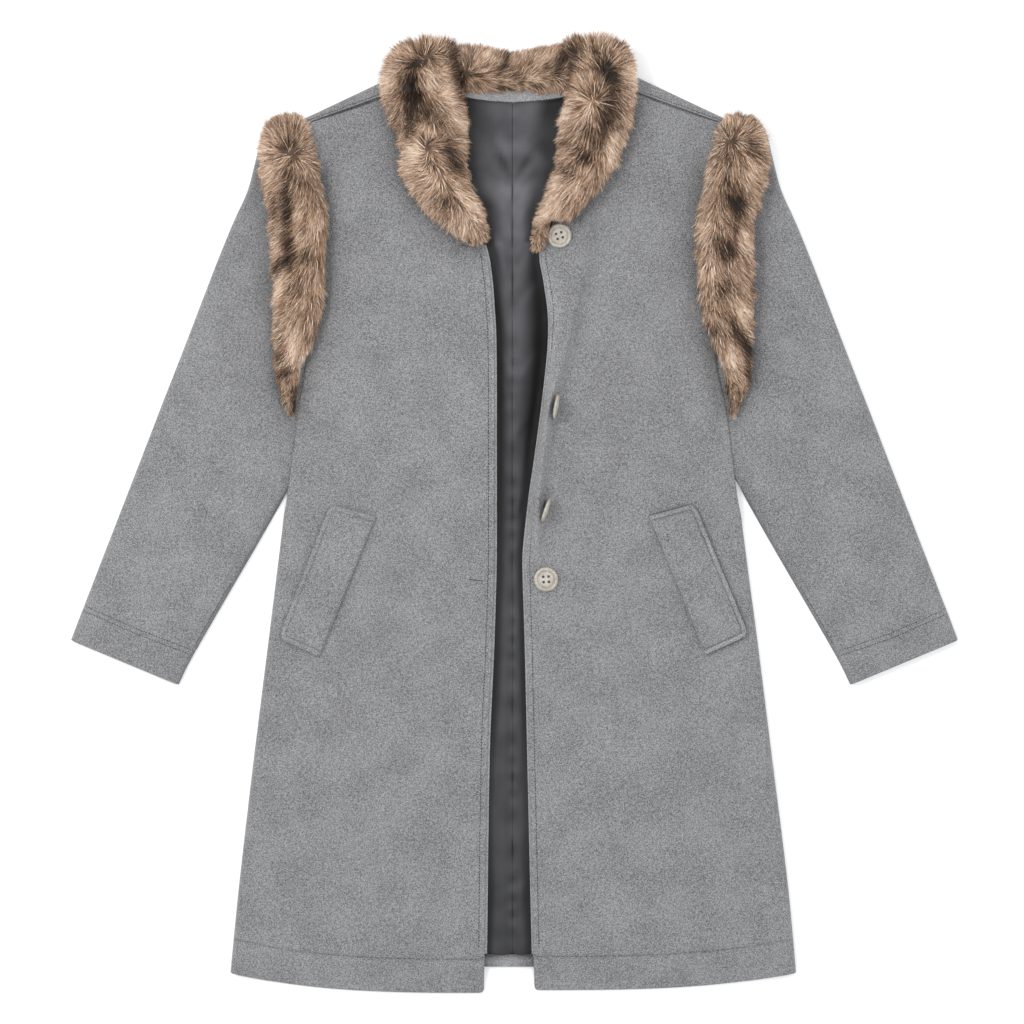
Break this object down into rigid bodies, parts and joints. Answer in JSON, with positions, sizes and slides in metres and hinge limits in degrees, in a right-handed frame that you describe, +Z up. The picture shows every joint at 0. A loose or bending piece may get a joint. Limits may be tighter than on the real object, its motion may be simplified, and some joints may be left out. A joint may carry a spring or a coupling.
{
  "type": "wool coat with fur collar and armhole trims",
  "caption": "Knee-length wool coat laid flat with its front open, with a fur collar, fur trims along the armholes, slanted welt pockets and a satin lining.",
  "frame": {"origin": "on the surface that the coat lies on, under the middle of its outline", "axes": "+Y from hem to collar, +X towards the wearer's left, +Z up out of the surface that the coat lies on"},
  "size_m": [0.978, 1.057, 0.0475],
  "materials": {
    "wool": "mid-grey napped wool melton with a fine heather mottle",
    "wool_facing": "the same grey wool on the turned-in facings and hem",
    "lining": "dark grey satin with a soft sheen",
    "fur": "long brown fur, darker at the roots and pale at the tips",
    "horn": "satin beige-grey horn with a pale rim"
  },
  "bodies": {
    "root": {"back_panel": "wool", "sleeve_under_right": "wool", "sleeve_under_left": "wool", "sleeve_upper_right": "wool", "sleeve_upper_left": "wool", "front_right": "wool", "front_left": "wool", "pocket_welt_right": "wool", "pocket_welt_left": "wool", "neck_facing": "wool_facing", "hem_facing": "wool_facing", "facing_right": "wool_facing", "facing_left": "wool_facing", "lining_right": "lining", "lining_left": "lining", "fur_collar_right": "fur", "fur_collar_left": "fur", "fur_collar_back": "fur", "fur_trim_right": "fur", "fur_trim_left": "fur", "button_1": "horn", "button_2": "horn", "button_3": "horn", "button_4": "horn"}
  },
  "joints": []
}
